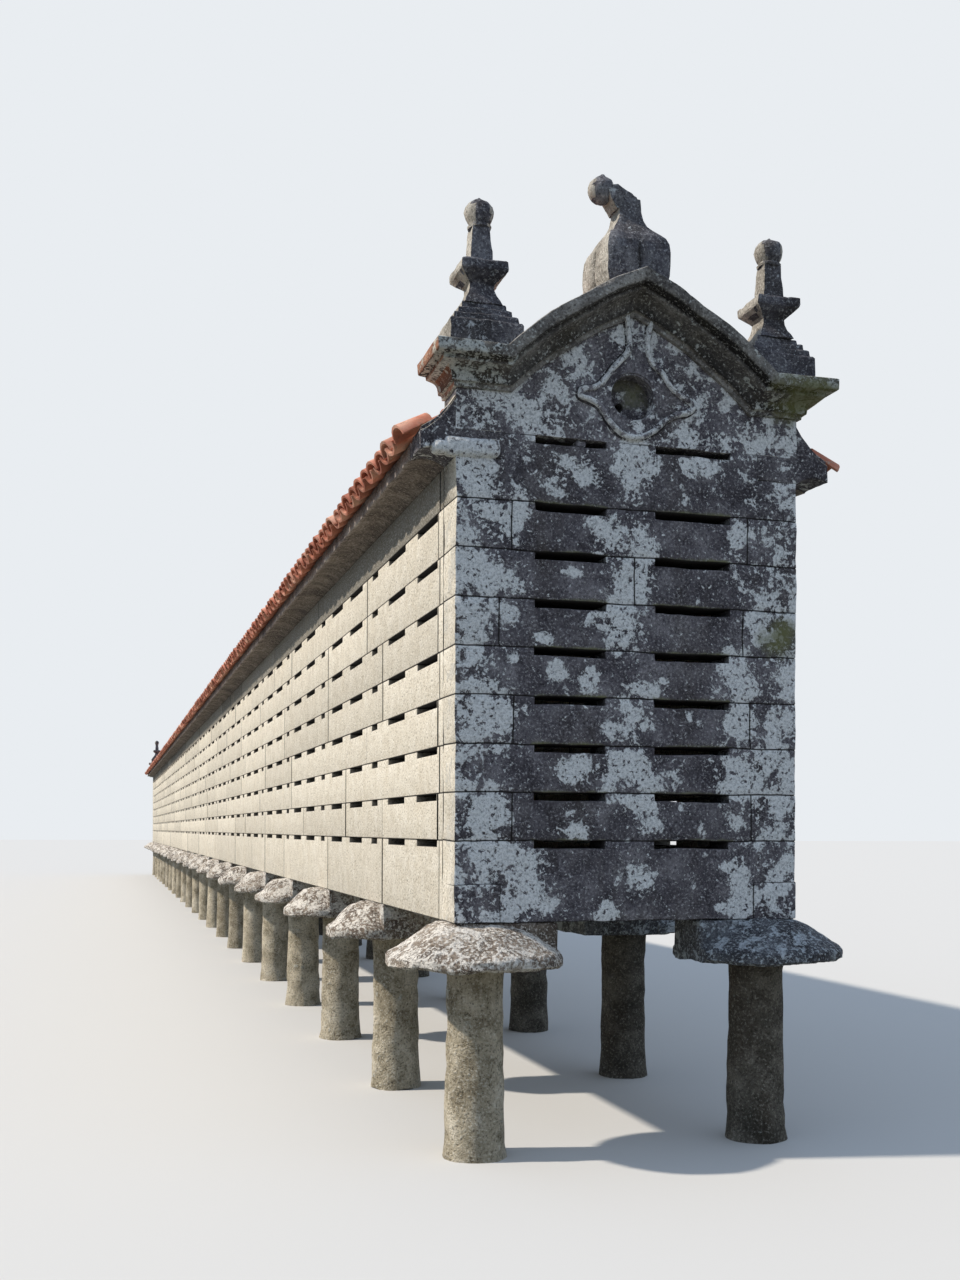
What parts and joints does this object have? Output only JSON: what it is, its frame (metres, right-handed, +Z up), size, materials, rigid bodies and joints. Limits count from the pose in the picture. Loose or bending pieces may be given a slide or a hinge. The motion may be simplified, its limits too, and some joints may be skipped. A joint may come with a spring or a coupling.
{
  "type": "raised granary",
  "caption": "Long narrow raised granary of granite with slotted walls, on columns with mushroom stones, with curved gable pediments and pinnacles.",
  "frame": {"origin": "on the ground, in the middle of the plan", "axes": "+Z up, +Y along the building away from the gable in the picture, +X to the right of it"},
  "size_m": [2.163, 36.9838, 4.3489],
  "materials": {
    "weathered_granite": "rough dressed stone",
    "pale_granite": "rough dressed stone",
    "eaves_granite": "rough dressed stone",
    "dressed_granite": "rough dressed stone",
    "lichened_granite": "rough dressed stone",
    "clay_tile": "fired clay"
  },
  "bodies": {
    "root": {"front_wall": "weathered_granite", "back_wall": "weathered_granite", "front_pediment": "weathered_granite", "back_pediment": "weathered_granite", "front_pediment_cornice": "weathered_granite", "back_pediment_cornice": "weathered_granite", "front_window_surround": "weathered_granite", "back_window_surround": "weathered_granite", "front_finial_block": "weathered_granite", "back_finial_block": "weathered_granite", "front_broken_finial": "weathered_granite", "back_broken_finial": "weathered_granite", "front_left_shoulder_stone": "weathered_granite", "front_left_pinnacle_base": "weathered_granite", "front_left_pinnacle": "weathered_granite", "front_right_shoulder_stone": "weathered_granite", "front_right_pinnacle_base": "weathered_granite", "front_right_pinnacle": "weathered_granite", "back_left_shoulder_stone": "weathered_granite", "back_left_pinnacle_base": "weathered_granite", "back_left_pinnacle": "weathered_granite", "back_right_shoulder_stone": "weathered_granite", "back_right_pinnacle_base": "weathered_granite", "back_right_pinnacle": "weathered_granite", "left_side_wall": "pale_granite", "right_side_wall": "pale_granite", "floor_slabs": "pale_granite", "left_eaves_cornice": "eaves_granite", "right_eaves_cornice": "eaves_granite", "left_columns": "dressed_granite", "right_columns": "dressed_granite", "left_mushroom_stones": "lichened_granite", "right_mushroom_stones": "lichened_granite", "front_left_corner_stone": "lichened_granite", "front_right_corner_stone": "lichened_granite", "back_left_corner_stone": "lichened_granite", "back_right_corner_stone": "lichened_granite", "left_roof_slope": "clay_tile", "right_roof_slope": "clay_tile", "roof_ridge": "clay_tile"}
  },
  "joints": []
}
